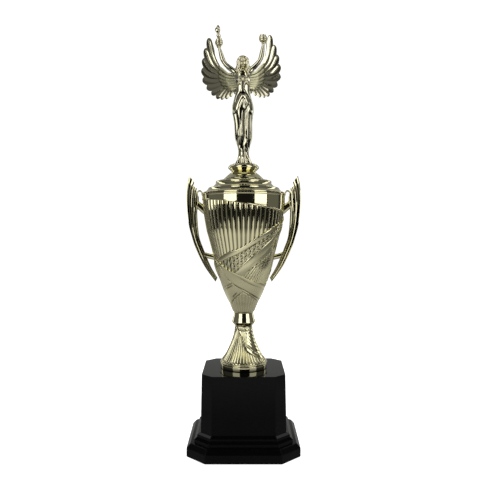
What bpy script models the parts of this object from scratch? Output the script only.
"""Figure trophy: a winged figure on a lidded cup with two handles, a fluted stem and a black block base.

The pieces stand on one vertical axis. A threaded rod clamps the base, the stem and the cup together.
The lid lifts off the cup, and the figure, held by its own stud and nut, turns on the lid.
Everything is in metres, +Z up, with the origin under the middle of the base, where it stands.
"""

import math

import bmesh
import bpy
from mathutils import Matrix, Vector

# ---------------------------------------------------------------- driving dimensions (metres)

TOTAL_HEIGHT = 0.400        # floor to the tip of the torch flame
GAP = 0.0003                # clearance between pieces that touch
WALL = 0.0016               # wall of the turned plated mouldings
BIG_SIDES = 36              # sides of the cup and the lid
MID_SIDES = 28              # sides of the stem and the figure's mounting rings
SMALL_SIDES = 16            # sides of rods, washers and screws

# Base: a square block with corners cut at 45 degrees, on a stepped foot
FOOT_HALF = 0.0512
FOOT_BAND_TOP = 0.0084
BLOCK_HALF = 0.0389
BLOCK_CORNER = 0.0105       # leg of the corner cut where the block is BLOCK_HALF wide
BLOCK_BOTTOM = 0.0208
DECK_HALF = 0.0380
DECK_Z = 0.0730
BASE_WALL = 0.0026
SHELL_LIFT = 0.0006         # the rim of the shell hangs this far above the floor

# Underside: pads, plate, screws and the weight
PAD_RADIUS = 0.0060
PAD_HEIGHT = 0.0012
PAD_PLACE = 0.0270          # x and y of each pad's middle
PLATE_HALF = 0.0483
PLATE_BOTTOM = PAD_HEIGHT + GAP
PLATE_THICK = 0.0020
SCREW_PLACE = 0.0375        # x and y of each screw and its boss
SCREW_RADIUS = 0.0013
SCREW_HEAD_RADIUS = 0.0028
SCREW_HEAD_THICK = 0.0008
SCREW_TOP = 0.0095
BOSS_RADIUS = 0.0035
BOSS_TOP = 0.0110
WEIGHT_HALF = 0.0300
WEIGHT_THICK = 0.0200

# Tie rod with its nuts and washers
ROD_RADIUS = 0.0030
ROD_BOTTOM = 0.0600
ROD_TOP = 0.1380
WASHER_RADIUS = 0.0060
WASHER_THICK = 0.0012
NUT_ACROSS = 0.0100         # across the flats
NUT_THICK = 0.0050

# Stem
RISER_TOP = 0.1127
COLLAR_TOP = 0.1251

# Cup
CUP_BOTTOM = COLLAR_TOP + GAP
CUP_FLOOR = 0.1290
BAND_BOTTOM = 0.2284
BAND_RADIUS = 0.0401
RIM_TOP = 0.2380
MOUTH_RADIUS = 0.0376

# Handles
HANDLE_THICK = 0.0052
TAB_HALF_THICK = 0.0018

# Lid and the seat of the figure
LID_RADIUS = 0.0388
SKIRT_RADIUS = 0.0372
SKIRT_BOTTOM = 0.2310
LID_TOP = 0.2519
SEAT_RADIUS = 0.0190
SEAT_TOP_RADIUS = 0.0124
SEAT_TOP = 0.2584

# Figure
STAND_BOTTOM = SEAT_TOP + GAP
STAND_TOP = 0.2667
HEM_Z = STAND_TOP + GAP
STUD_RADIUS = 0.0020
STUD_BOTTOM = 0.2425
STUD_TOP = 0.2840
SMALL_NUT_ACROSS = 0.0070
SMALL_NUT_THICK = 0.0032
FIGURE_TURN = math.radians(1.4)     # the figure faces a hair to its left
SHOULDER_TILT = math.radians(-3.2)  # its left shoulder stands a little higher
SHOULDER_PIVOT = Vector((-0.0009, 0.0, 0.345))
SWAY = -0.0008              # sideways shift of the body above the hips
TORCH_ARM_RAISE = 0.945     # how high the arm with the torch reaches, as a share of the other arm
WING_SWEEP = math.radians(33)
WING_PLANE_Y = 0.0020       # where the planes of the wings meet behind the axis
WING_THICK = 0.0018
WING_ROOT = 0.0045          # reach of the root, sunk into a slot in the back of the body
WING_ROOT_BOTTOM = 0.3375
WING_ROOT_TOP = 0.3545
PEG_RADIUS = 0.0012
PEG_Z = 0.346

COLOURS = {
    "black plastic": ((0.006, 0.006, 0.006, 1.0), 0.08, 0.0),
    "plated gold": ((0.60, 0.56, 0.40, 1.0), 0.12, 1.0),
    "satin gold": ((0.56, 0.53, 0.38, 1.0), 0.28, 1.0),
    "zinc steel": ((0.55, 0.56, 0.57, 1.0), 0.35, 1.0),
    "cast iron": ((0.09, 0.09, 0.10, 1.0), 0.70, 1.0),
    "grey board": ((0.10, 0.10, 0.10, 1.0), 0.85, 0.0),
    "pad rubber": ((0.02, 0.02, 0.02, 1.0), 0.90, 0.0),
}


# ---------------------------------------------------------------- scene and material helpers

def clear_scene():
    """Remove every object."""
    for old in list(bpy.data.objects):
        bpy.data.objects.remove(old, do_unlink=True)


def finish_material(node_name, finish):
    """A Principled material of the piece's own, in one of the named finishes."""
    colour, roughness, metallic = COLOURS[finish]
    material = bpy.data.materials.new(node_name + "_finish")
    material.use_nodes = True
    shader = material.node_tree.nodes["Principled BSDF"]
    shader.inputs["Base Color"].default_value = colour
    shader.inputs["Roughness"].default_value = roughness
    shader.inputs["Metallic"].default_value = metallic
    return material


def frame_empty(name, height):
    """An empty on the vertical axis that carries the pieces of one moving body."""
    empty = bpy.data.objects.new(name, None)
    empty.location = (0.0, 0.0, height)
    bpy.context.scene.collection.objects.link(empty)
    return empty


def make_piece(name, mesh_maker, finish, parent):
    """One named object, closed and facing outwards, carried by its body's empty."""
    mesh = mesh_from(mesh_maker, name)
    mesh.materials.append(finish_material(name, finish))
    piece = bpy.data.objects.new(name, mesh)
    bpy.context.scene.collection.objects.link(piece)
    piece.parent = parent
    piece.matrix_parent_inverse = Matrix.Translation(-parent.location)
    return piece


def make_tool_solid(name, mesh_maker, parent):
    """A solid used only by a Boolean modifier."""
    solid = bpy.data.objects.new(name, mesh_from(mesh_maker, name))
    bpy.context.scene.collection.objects.link(solid)
    solid.parent = parent
    solid.matrix_parent_inverse = Matrix.Translation(-parent.location)
    solid.hide_render = True
    solid.display_type = "WIRE"
    return solid


def mesh_from(mesh_maker, name):
    """Run a function that fills a bmesh, and turn the result into a mesh with outward faces."""
    shape = bmesh.new()
    mesh_maker(shape)
    bmesh.ops.remove_doubles(shape, verts=shape.verts, dist=1e-7)
    bmesh.ops.recalc_face_normals(shape, faces=shape.faces)
    mesh = bpy.data.meshes.new(name)
    shape.to_mesh(mesh)
    shape.free()
    mesh.shade_smooth()
    mesh.set_sharp_from_angle(angle=math.radians(35))
    return mesh


def combine(piece, mesh_maker, operation, label):
    """Add a Boolean modifier that cuts or joins the solid made by mesh_maker."""
    solid = make_tool_solid(piece.name + "_" + label, mesh_maker, piece.parent)
    boolean = piece.modifiers.new(label, "BOOLEAN")
    boolean.operation = operation
    boolean.solver = "EXACT"
    boolean.object = solid


def cut(piece, mesh_maker, label):
    """Take a solid away from a piece."""
    combine(piece, mesh_maker, "DIFFERENCE", label)


def join(piece, mesh_maker, label):
    """Grow a piece by a solid that overlaps it."""
    combine(piece, mesh_maker, "UNION", label)


# ---------------------------------------------------------------- curve helpers

def smooth_through(points, steps):
    """Points on a Catmull-Rom curve through the given points, with steps spans between each pair."""
    ends = [points[0]] + list(points) + [points[-1]]
    curve = []
    for index in range(1, len(ends) - 2):
        before, start, end, after = (Vector(p) for p in ends[index - 1:index + 3])
        for step in range(steps):
            t = step / steps
            curve.append(0.5 * (2 * start + (end - before) * t
                                + (2 * before - 5 * start + 4 * end - after) * t ** 2
                                + (3 * start - before - 3 * end + after) * t ** 3))
    curve.append(Vector(points[-1]))
    return [tuple(point) for point in curve]


# ---------------------------------------------------------------- solids as functions of a bmesh

def turned(profile, sides):
    """A closed profile of (radius, height) points, spun about the vertical axis."""
    def fill(shape):
        corners = [shape.verts.new((radius, 0.0, height)) for radius, height in profile]
        edges = [shape.edges.new((corners[i], corners[(i + 1) % len(corners)])) for i in range(len(corners))]
        on_axis = [e for e in edges if all(v.co.x < 1e-9 for v in e.verts)]
        for edge in on_axis:
            edges.remove(edge)
            shape.edges.remove(edge)
        bmesh.ops.spin(shape, geom=corners + edges, cent=(0, 0, 0), axis=(0, 0, 1), dvec=(0, 0, 0),
                       angle=2 * math.pi, steps=sides, use_merge=True, use_duplicate=False)
    return fill


def lofted(rings):
    """Rings of equally many points, joined in order and closed at both ends."""
    def fill(shape):
        loops = [[shape.verts.new(point) for point in ring] for ring in rings]
        count = len(loops[0])
        for lower, upper in zip(loops, loops[1:]):
            for i in range(count):
                j = (i + 1) % count
                shape.faces.new((lower[i], lower[j], upper[j], upper[i]))
        shape.faces.new(loops[0][::-1])
        shape.faces.new(loops[-1])
    return fill


def rod(centre, radius, bottom, top, sides=SMALL_SIDES):
    """An upright round bar."""
    def fill(shape):
        middle = Matrix.Translation((centre[0], centre[1], (bottom + top) / 2))
        bmesh.ops.create_cone(shape, cap_ends=True, segments=sides, radius1=radius, radius2=radius,
                              depth=top - bottom, matrix=middle)
    return fill


def block(low, high):
    """A box between two corners."""
    def fill(shape):
        size = [high[i] - low[i] for i in range(3)]
        middle = [(high[i] + low[i]) / 2 for i in range(3)]
        placed = Matrix.Translation(middle) @ Matrix.Diagonal((*size, 1.0))
        bmesh.ops.create_cube(shape, size=1.0, matrix=placed)
    return fill


def hexagon_bar(across, bottom, top):
    """A six-sided bar for a nut."""
    return rod((0.0, 0.0), across / 2 / math.cos(math.pi / 6), bottom, top, sides=6)


def sheet(outline, thickness):
    """A flat outline in the X-Z plane, extruded to a thickness centred on that plane."""
    def fill(shape):
        face = shape.faces.new([shape.verts.new((x, -thickness / 2, z)) for x, z in outline])
        grown = bmesh.ops.extrude_face_region(shape, geom=[face])
        moved = [item for item in grown["geom"] if isinstance(item, bmesh.types.BMVert)]
        bmesh.ops.translate(shape, verts=moved, vec=(0.0, thickness, 0.0))
    return fill


def limb(path, sides=10):
    """A round bar of changing radius along a path of (x, y, z, radius) points."""
    centres = [Vector(point[:3]) for point in path]
    rings = []
    for index, centre in enumerate(centres):
        ahead = centres[min(index + 1, len(centres) - 1)]
        behind = centres[max(index - 1, 0)]
        direction = (ahead - behind).normalized()
        across = direction.cross(Vector((0.0, 1.0, 0.0))).normalized()
        depth = direction.cross(across)
        radius = path[index][3]
        ring = []
        for side in range(sides):
            angle = 2 * math.pi * side / sides
            ring.append(centre + radius * (math.cos(angle) * across + math.sin(angle) * depth))
        rings.append(ring)
    return lofted(rings)


def moved_by(matrix, mesh_maker):
    """The same solid, placed by a matrix."""
    def fill(shape):
        mesh_maker(shape)
        bmesh.ops.transform(shape, matrix=matrix, verts=shape.verts)
    return fill


# ---------------------------------------------------------------- base

def corner_cut(half):
    """Leg of the 45 degree corner cut of an octagon that is offset evenly from the block."""
    return BLOCK_CORNER + (2 - math.sqrt(2)) * (half - BLOCK_HALF)


def octagon(half, height):
    """One level of the base: a square with its corners cut at 45 degrees."""
    short = half - corner_cut(half)
    return [(short, -half, height), (half, -short, height), (half, short, height), (short, half, height),
            (-short, half, height), (-half, short, height), (-half, -short, height), (-short, -half, height)]


FOUR_CORNERS = [(1, 1), (-1, 1), (-1, -1), (1, -1)]


def build_base(parent):
    """The hollow black moulding with the four bosses for the plate screws."""
    outside = [(FOOT_HALF, SHELL_LIFT), (FOOT_HALF, FOOT_BAND_TOP), (0.0478, 0.0122), (0.0447, 0.0126),
               (0.0444, 0.0152), (0.0421, 0.0171), (0.0419, 0.0191), (BLOCK_HALF, BLOCK_BOTTOM),
               (DECK_HALF, DECK_Z)]
    inside = [(DECK_HALF - BASE_WALL, DECK_Z - BASE_WALL), (BLOCK_HALF - BASE_WALL, BLOCK_BOTTOM),
              (0.0416, 0.0132), (FOOT_HALF - BASE_WALL, 0.0070), (FOOT_HALF - BASE_WALL, SHELL_LIFT)]
    shell = make_piece("base_shell", lofted([octagon(*level) for level in inside + outside]),
                       "black plastic", parent)
    for number, (sx, sy) in enumerate(FOUR_CORNERS, start=1):
        centre = (sx * SCREW_PLACE, sy * SCREW_PLACE)
        boss = rod(centre, BOSS_RADIUS, PLATE_BOTTOM + PLATE_THICK + GAP, BOSS_TOP)
        join(shell, boss, "boss_%d" % number)
        hole = rod(centre, SCREW_RADIUS + GAP, 0.0, SCREW_TOP + GAP)
        cut(shell, hole, "boss_hole_%d" % number)
    cut(shell, rod((0, 0), ROD_RADIUS + GAP, DECK_Z - 0.010, DECK_Z + 0.010), "rod_hole")


def build_underside(parent):
    """The bottom plate with its screws and pads, and the weight that rests on the plate."""
    plate_top = PLATE_BOTTOM + PLATE_THICK
    plate = make_piece("base_plate", lofted([octagon(PLATE_HALF, PLATE_BOTTOM), octagon(PLATE_HALF, plate_top)]),
                       "grey board", parent)
    for number, (sx, sy) in enumerate(FOUR_CORNERS, start=1):
        centre = (sx * SCREW_PLACE, sy * SCREW_PLACE)
        cut(plate, rod(centre, SCREW_RADIUS + GAP, 0.0, plate_top + 0.005), "screw_hole_%d" % number)
        screw_name = "plate_screw_%d" % number
        head_bottom = PLATE_BOTTOM - GAP - SCREW_HEAD_THICK
        head_top = PLATE_BOTTOM - GAP
        profile = [(0, head_bottom), (SCREW_HEAD_RADIUS, head_bottom), (SCREW_HEAD_RADIUS, head_top),
                   (SCREW_RADIUS, head_top), (SCREW_RADIUS, SCREW_TOP), (0, SCREW_TOP)]
        at_corner = Matrix.Translation((centre[0], centre[1], 0.0))
        make_piece(screw_name, moved_by(at_corner, turned(profile, SMALL_SIDES)), "zinc steel", parent)
        pad_centre = (sx * PAD_PLACE, sy * PAD_PLACE)
        make_piece("foot_pad_%d" % number, rod(pad_centre, PAD_RADIUS, 0.0, PAD_HEIGHT, sides=24),
                   "pad rubber", parent)
    weight_bottom = plate_top + GAP
    weight_levels = (weight_bottom, weight_bottom + WEIGHT_THICK)
    make_piece("base_weight", lofted([octagon(WEIGHT_HALF, level) for level in weight_levels]),
               "cast iron", parent)


# ---------------------------------------------------------------- tie rod and its hardware

def washer_profile(radius, hole, bottom, thickness):
    """The cross-section of a washer."""
    return [(hole, bottom), (radius, bottom), (radius, bottom + thickness), (hole, bottom + thickness)]


def build_nut(name, across, hole, bottom, thickness, parent):
    """A hexagon nut with a plain round hole."""
    nut = make_piece(name, hexagon_bar(across, bottom, bottom + thickness), "zinc steel", parent)
    cut(nut, rod((0, 0), hole, bottom - 0.005, bottom + thickness + 0.005), "hole")


def build_tie_rod(parent):
    """The rod that clamps the cup and the stem down on the deck of the base."""
    hole = ROD_RADIUS + GAP
    make_piece("tie_rod", rod((0, 0), ROD_RADIUS, ROD_BOTTOM, ROD_TOP), "zinc steel", parent)
    lower_washer = DECK_Z - BASE_WALL - GAP - WASHER_THICK
    make_piece("lower_tie_washer", turned(washer_profile(WASHER_RADIUS, hole, lower_washer, WASHER_THICK),
                                          SMALL_SIDES), "zinc steel", parent)
    build_nut("lower_tie_nut", NUT_ACROSS, hole, lower_washer - GAP - NUT_THICK, NUT_THICK, parent)
    upper_washer = CUP_FLOOR + GAP
    make_piece("upper_tie_washer", turned(washer_profile(WASHER_RADIUS, hole, upper_washer, WASHER_THICK),
                                          SMALL_SIDES), "zinc steel", parent)
    build_nut("upper_tie_nut", NUT_ACROSS, hole, upper_washer + WASHER_THICK + GAP, NUT_THICK, parent)


# ---------------------------------------------------------------- stem

def build_stem(parent):
    """The flared riser on its ring, and the polished collar under the cup."""
    hole = ROD_RADIUS + GAP
    bottom = DECK_Z + GAP
    flare = smooth_through([(0.0217, 0.0801), (0.0159, 0.0886), (0.0120, 0.0971), (0.0093, 0.1056),
                            (0.0084, RISER_TOP)], 2)
    outside = [(0.0220, bottom), (0.0220, 0.0772), (0.0224, 0.0776), (0.0224, 0.0789)] + flare
    inside = [(hole, RISER_TOP), (hole, 0.1110), (0.0067, 0.1100), (0.0077, 0.1046), (0.0104, 0.0961),
              (0.0143, 0.0876), (0.0200, 0.0785), (0.0200, bottom)]
    make_piece("stem_riser", turned(outside + inside, MID_SIDES), "satin gold", parent)
    collar_bottom = RISER_TOP + GAP
    collar = [(hole, collar_bottom), (0.0083, collar_bottom), (0.0096, 0.1144), (0.0114, 0.1165),
              (0.0101, 0.1205), (0.0092, COLLAR_TOP), (hole, COLLAR_TOP)]
    make_piece("stem_collar", turned(collar, MID_SIDES), "plated gold", parent)


# ---------------------------------------------------------------- cup and handles

CUP_OUTLINE = smooth_through([(0.0092, CUP_BOTTOM), (0.0120, 0.1323), (0.0167, 0.1409), (0.0225, 0.1581),
                              (0.0287, 0.1753), (0.0335, 0.1954), (0.0370, 0.2095), (0.0384, 0.2200),
                              (0.0386, BAND_BOTTOM)], 2)


def cup_envelope(clearance):
    """The outside of the cup as a solid, grown by a clearance."""
    side = [(radius + clearance, height) for radius, height in CUP_OUTLINE]
    band = [(BAND_RADIUS + clearance, BAND_BOTTOM), (BAND_RADIUS + clearance, RIM_TOP + clearance)]
    return turned([(0, CUP_BOTTOM)] + side + band + [(0, RIM_TOP + clearance)], BIG_SIDES)


# Bottom, top, inner x and outer x of the two tabs of each handle.
TAB_SPANS = [(0.2215, 0.2262, 0.0354, 0.0415), (0.1768, 0.1798, 0.0262, 0.0325)]


def handle_tab(side, span, clearance):
    """One of a handle's tabs, or the slot for it when a clearance is given."""
    bottom, top, inner, outer = span
    ends = sorted((side * (inner - clearance), side * (outer + clearance)))
    half = TAB_HALF_THICK + clearance
    return block((ends[0], -half, bottom - clearance), (ends[1], half, top + clearance))


def build_cup(parent):
    """The hollow bowl with its polished rim band and the slots for the handle tabs."""
    inside = [(radius - WALL, height) for radius, height in reversed(CUP_OUTLINE[::2]) if height > 0.1330]
    rim = [(BAND_RADIUS, BAND_BOTTOM + 0.0004), (BAND_RADIUS, RIM_TOP - 0.0005), (0.0396, RIM_TOP),
           (MOUTH_RADIUS, RIM_TOP), (MOUTH_RADIUS, BAND_BOTTOM + 0.0010)]
    hole = ROD_RADIUS + GAP
    floor = [(0.0090, 0.1315), (0.0084, CUP_FLOOR), (hole, CUP_FLOOR), (hole, CUP_BOTTOM)]
    profile = CUP_OUTLINE + rim + inside + floor
    cup = make_piece("cup_bowl", turned(profile, BIG_SIDES), "plated gold", parent)
    for side, word in ((-1, "left"), (1, "right")):
        for number, span in enumerate(TAB_SPANS, start=1):
            cut(cup, handle_tab(side, span, GAP), "%s_slot_%d" % (word, number))


def build_handle(side, word, parent):
    """A crescent blade with a stepped top, two struts to the cup and a tab on each strut."""
    outer_edge = smooth_through([(0.0519, 0.2556), (0.0542, 0.2442), (0.0544, 0.2280), (0.0525, 0.2098),
                                 (0.0458, 0.1868), (0.0376, 0.1696), (0.0270, 0.1545)], 3)
    inner_edge = smooth_through([(0.0249, 0.1581), (0.0315, 0.1696), (0.0387, 0.1868), (0.0426, 0.1990),
                                 (0.0443, 0.2200), (0.0426, 0.2330), (0.0442, 0.2400)], 3)
    stepped_top = [(0.0447, 0.2434), (0.0483, 0.2464), (0.0470, 0.2493), (0.0510, 0.2559)]
    blade = [(side * x, z) for x, z in outer_edge + inner_edge + stepped_top]
    handle = make_piece("handle_" + word, sheet(blade, HANDLE_THICK), "plated gold", parent)
    upper_strut = [(0.0462, 0.2335), (0.0360, 0.2265), (0.0360, 0.2180), (0.0462, 0.2262)]
    lower_strut = [(0.0392, 0.1832), (0.0270, 0.1802), (0.0262, 0.1750), (0.0370, 0.1775)]
    rim_arm = [(0.0455, 0.2395), (0.0430, 0.2410), (0.0410, 0.2406), (0.0395, 0.2390), (0.0395, 0.2366),
               (0.0420, 0.2388), (0.0455, 0.2370)]
    for label, outline in (("upper_strut", upper_strut), ("lower_strut", lower_strut), ("rim_arm", rim_arm)):
        join(handle, sheet([(side * x, z) for x, z in outline], HANDLE_THICK - 0.0008), label)
    cut(handle, cup_envelope(GAP + 0.0001), "cup_room")
    for number, span in enumerate(TAB_SPANS, start=1):
        join(handle, handle_tab(side, span, 0.0), "tab_%d" % number)


# ---------------------------------------------------------------- lid

def build_lid(parent):
    """The hollow stepped lid with the skirt that centres it in the mouth, and the seat of the figure."""
    edge_bottom = RIM_TOP + GAP
    hole = STUD_RADIUS + GAP
    outer_cove = smooth_through([(0.0386, 0.2396), (0.0358, 0.2408), (0.0333, 0.2442)], 2)
    inner_cove = smooth_through([(0.0320, 0.2447), (0.0290, 0.2458), (0.0268, 0.2490)], 2)
    outside = ([(LID_RADIUS, edge_bottom), (LID_RADIUS, 0.2393)] + outer_cove + inner_cove
               + [(0.0263, 0.2510), (0.0254, LID_TOP - 0.0002), (hole, LID_TOP)])
    inside = [(hole, LID_TOP - WALL), (0.0240, LID_TOP - WALL), (0.0250, 0.2470), (0.0312, 0.2418),
              (0.0352, 0.2385), (0.0356, 0.2370), (0.0356, SKIRT_BOTTOM)]
    skirt = [(SKIRT_RADIUS, SKIRT_BOTTOM), (SKIRT_RADIUS, edge_bottom)]
    make_piece("lid_shell", turned(outside + inside + skirt, BIG_SIDES), "plated gold", parent)
    seat_bottom = LID_TOP + GAP
    seat = [(hole, seat_bottom), (SEAT_RADIUS, seat_bottom), (0.0187, 0.2529), (SEAT_TOP_RADIUS, SEAT_TOP),
            (hole, SEAT_TOP)]
    make_piece("figure_seat", turned(seat, MID_SIDES), "plated gold", parent)


# ---------------------------------------------------------------- figure

def turn_about_axis():
    """The figure's small turn about the vertical axis."""
    return Matrix.Rotation(FIGURE_TURN, 4, "Z")


def upper_pose():
    """Places arms and wings: the turn, then the tilt of the shoulder line."""
    tilt = (Matrix.Translation(SHOULDER_PIVOT) @ Matrix.Rotation(SHOULDER_TILT, 4, "Y")
            @ Matrix.Translation(-SHOULDER_PIVOT))
    return tilt @ Matrix.Translation((SWAY, 0.0, 0.0)) @ turn_about_axis()


def body_ring(height, half_width, half_depth, sides=20):
    """One level of the draped body, an oval that follows the sway of the hips."""
    shift = SWAY * min(1.0, max(0.0, (height - 0.282) / 0.036))
    ring = []
    for side in range(sides):
        angle = 2 * math.pi * side / sides
        ring.append((shift + half_width * math.cos(angle), half_depth * math.sin(angle), height))
    return ring


def wing_point(side, reach, height):
    """A point on the plane of a wing, at a reach from the axis."""
    return Vector((side * reach * math.cos(WING_SWEEP), WING_PLANE_Y + reach * math.sin(WING_SWEEP), height))


def peg(side, inner, outer, radius):
    """The peg that carries a wing, or its socket."""
    ends = [wing_point(side, reach, PEG_Z) for reach in (inner, outer)]
    return limb([(*ends[0], radius), (*ends[1], radius)], sides=12)


def wing_swing(side):
    """Swings a plate from the X-Z plane back to the plane of a wing."""
    return Matrix.Translation((0.0, WING_PLANE_Y, 0.0)) @ Matrix.Rotation(side * WING_SWEEP, 4, "Z")


def root_slot(side):
    """Room for the root of a wing, with clearance all round."""
    ends = sorted((side * (WING_ROOT - GAP), side * 0.0120))
    half = WING_THICK / 2 + GAP
    return block((ends[0], -half, WING_ROOT_BOTTOM - 2 * GAP), (ends[1], half, WING_ROOT_TOP + 0.0010))


def build_figure_body(parent):
    """Gown, torso, head and hair as one draped body, with two raised arms and the torch."""
    gown = [(HEM_Z, 0.0084, 0.0078), (0.2697, 0.0075, 0.0070), (0.2749, 0.0054, 0.0053),
            (0.2826, 0.0057, 0.0056), (0.2904, 0.0078, 0.0066), (0.3059, 0.0083, 0.0070),
            (0.3120, 0.0097, 0.0076), (0.3180, 0.0104, 0.0080), (0.3270, 0.0090, 0.0070)]
    torso = [(0.3355, 0.0069, 0.0050), (0.3450, 0.0071, 0.0055), (0.3520, 0.0073, 0.0056),
             (0.3555, 0.0066, 0.0050)]
    head = [(0.3590, 0.0054, 0.0052), (0.3635, 0.0058, 0.0058), (0.3675, 0.0048, 0.0050),
            (0.3697, 0.0026, 0.0028), (0.3705, 0.0008, 0.0008)]
    levels = gown + torso + head
    turn = turn_about_axis()
    body = make_piece("figure_body", moved_by(turn, lofted([body_ring(*level) for level in levels])),
                      "plated gold", parent)
    pose = upper_pose()
    shoulder = [(0.0040, 0.0, 0.3530, 0.0024), (0.0075, 0.0, 0.3563, 0.0025)]
    forearm = [(0.0125, 0.0, 0.3608, 0.0022), (0.0166, 0.0, 0.3660, 0.0021), (0.0190, 0.0, 0.3740, 0.0020),
               (0.0202, 0.0, 0.3806, 0.0017), (0.0208, 0.0, 0.3835, 0.0029), (0.0212, 0.0, 0.3862, 0.0032)]
    fist_top = [(0.0214, 0.0, 0.3893, 0.0020), (0.0215, 0.0, 0.3899, 0.0007)]
    arm = shoulder + forearm
    join(body, moved_by(pose, limb(arm + fist_top)), "right_arm")
    tip = pose.inverted() @ Vector((-0.0248, 0.0, TOTAL_HEIGHT))
    torch = [(tip.x, 0.0, tip.z + drop, radius) for drop, radius in
             ((-0.0093, 0.0010), (-0.0088, 0.0017), (-0.0070, 0.0019), (-0.0063, 0.0014), (-0.0040, 0.0025),
              (-0.0016, 0.0016), (0.0, 0.0003))]
    left_arm = [(-x, y, arm[0][2] + (z - arm[0][2]) * TORCH_ARM_RAISE, radius) for x, y, z, radius in arm]
    torch_grip = (-0.0215, 0.0, 0.3873, 0.0010)
    join(body, moved_by(pose, limb(left_arm + [torch_grip] + torch)), "left_arm")
    cut(body, rod((0, 0), STUD_RADIUS + GAP, HEM_Z - 0.002, STUD_TOP + GAP, sides=12), "stud_hole")
    for side, word in ((-1, "left"), (1, "right")):
        cut(body, moved_by(pose, peg(side, 0.0022, 0.0120, PEG_RADIUS + GAP)), word + "_peg_socket")
        cut(body, moved_by(pose @ wing_swing(side), root_slot(side)), word + "_wing_slot")


def build_wing(side, word, parent):
    """A swept wing plate with a scalloped trailing edge, and the peg at its root."""
    top_edge = [(WING_ROOT, WING_ROOT_TOP), (0.0166, 0.3590), (0.0221, 0.3619), (0.0275, 0.3675), (0.0305, 0.3723),
                (0.0340, 0.3799), (0.0352, 0.3905), (0.0370, 0.3960)]
    feather_tips = [(0.0411, 0.3860), (0.0444, 0.3763), (0.0462, 0.3669), (0.0458, 0.3572), (0.0415, 0.3489),
                    (0.0363, 0.3417), (0.0309, 0.3366), (0.0256, 0.3343), (0.0202, 0.3341), (0.0150, 0.3352),
                    (0.0091, 0.3366), (WING_ROOT, WING_ROOT_BOTTOM)]
    outline = []
    for start, end in zip(feather_tips, feather_tips[1:]):
        outline.append(start)
        notch = (Vector(start) + Vector(end)) / 2
        inward = (Vector((0.0200, 0.3550)) - notch).normalized() * 0.0006
        outline.append(tuple(notch + inward))
    outline = smooth_through(top_edge, 2) + outline + [feather_tips[-1]]
    plate = sheet([(side * reach, height) for reach, height in outline], WING_THICK)
    pose = upper_pose()
    wing = make_piece("wing_" + word, moved_by(pose @ wing_swing(side), plate), "plated gold", parent)
    join(wing, moved_by(pose, peg(side, 0.0026, 0.0110, PEG_RADIUS)), "peg")


def build_figure_mount(parent):
    """The ring the figure stands on, and the stud, washer and nut that hold it to the lid."""
    hole = STUD_RADIUS + GAP
    ring = [(hole, STAND_BOTTOM), (0.0107, STAND_BOTTOM), (0.0112, 0.2594), (0.0120, 0.2599), (0.0149, 0.2629),
            (0.0143, 0.2645), (0.0118, 0.2662), (0.0108, STAND_TOP), (hole, STAND_TOP)]
    make_piece("figure_stand", turned(ring, MID_SIDES), "plated gold", parent)
    make_piece("figure_stud", rod((0, 0), STUD_RADIUS, STUD_BOTTOM, STUD_TOP, sides=12), "zinc steel", parent)
    washer = LID_TOP - WALL - GAP - WASHER_THICK
    make_piece("figure_stud_washer", turned(washer_profile(0.0050, hole, washer, WASHER_THICK), SMALL_SIDES),
               "zinc steel", parent)
    build_nut("figure_stud_nut", SMALL_NUT_ACROSS, hole, washer - GAP - SMALL_NUT_THICK, SMALL_NUT_THICK, parent)


# ---------------------------------------------------------------- assembly

def main():
    """Build the trophy from the floor up."""
    clear_scene()
    stand = frame_empty("stand_frame", 0.0)
    lid = frame_empty("lid_frame", RIM_TOP)
    figure = frame_empty("figure_frame", STAND_BOTTOM)
    build_base(stand)
    build_underside(stand)
    build_tie_rod(stand)
    build_stem(stand)
    build_cup(stand)
    build_handle(-1, "left", stand)
    build_handle(1, "right", stand)
    build_lid(lid)
    build_figure_mount(figure)
    build_figure_body(figure)
    build_wing(-1, "left", figure)
    build_wing(1, "right", figure)


main()
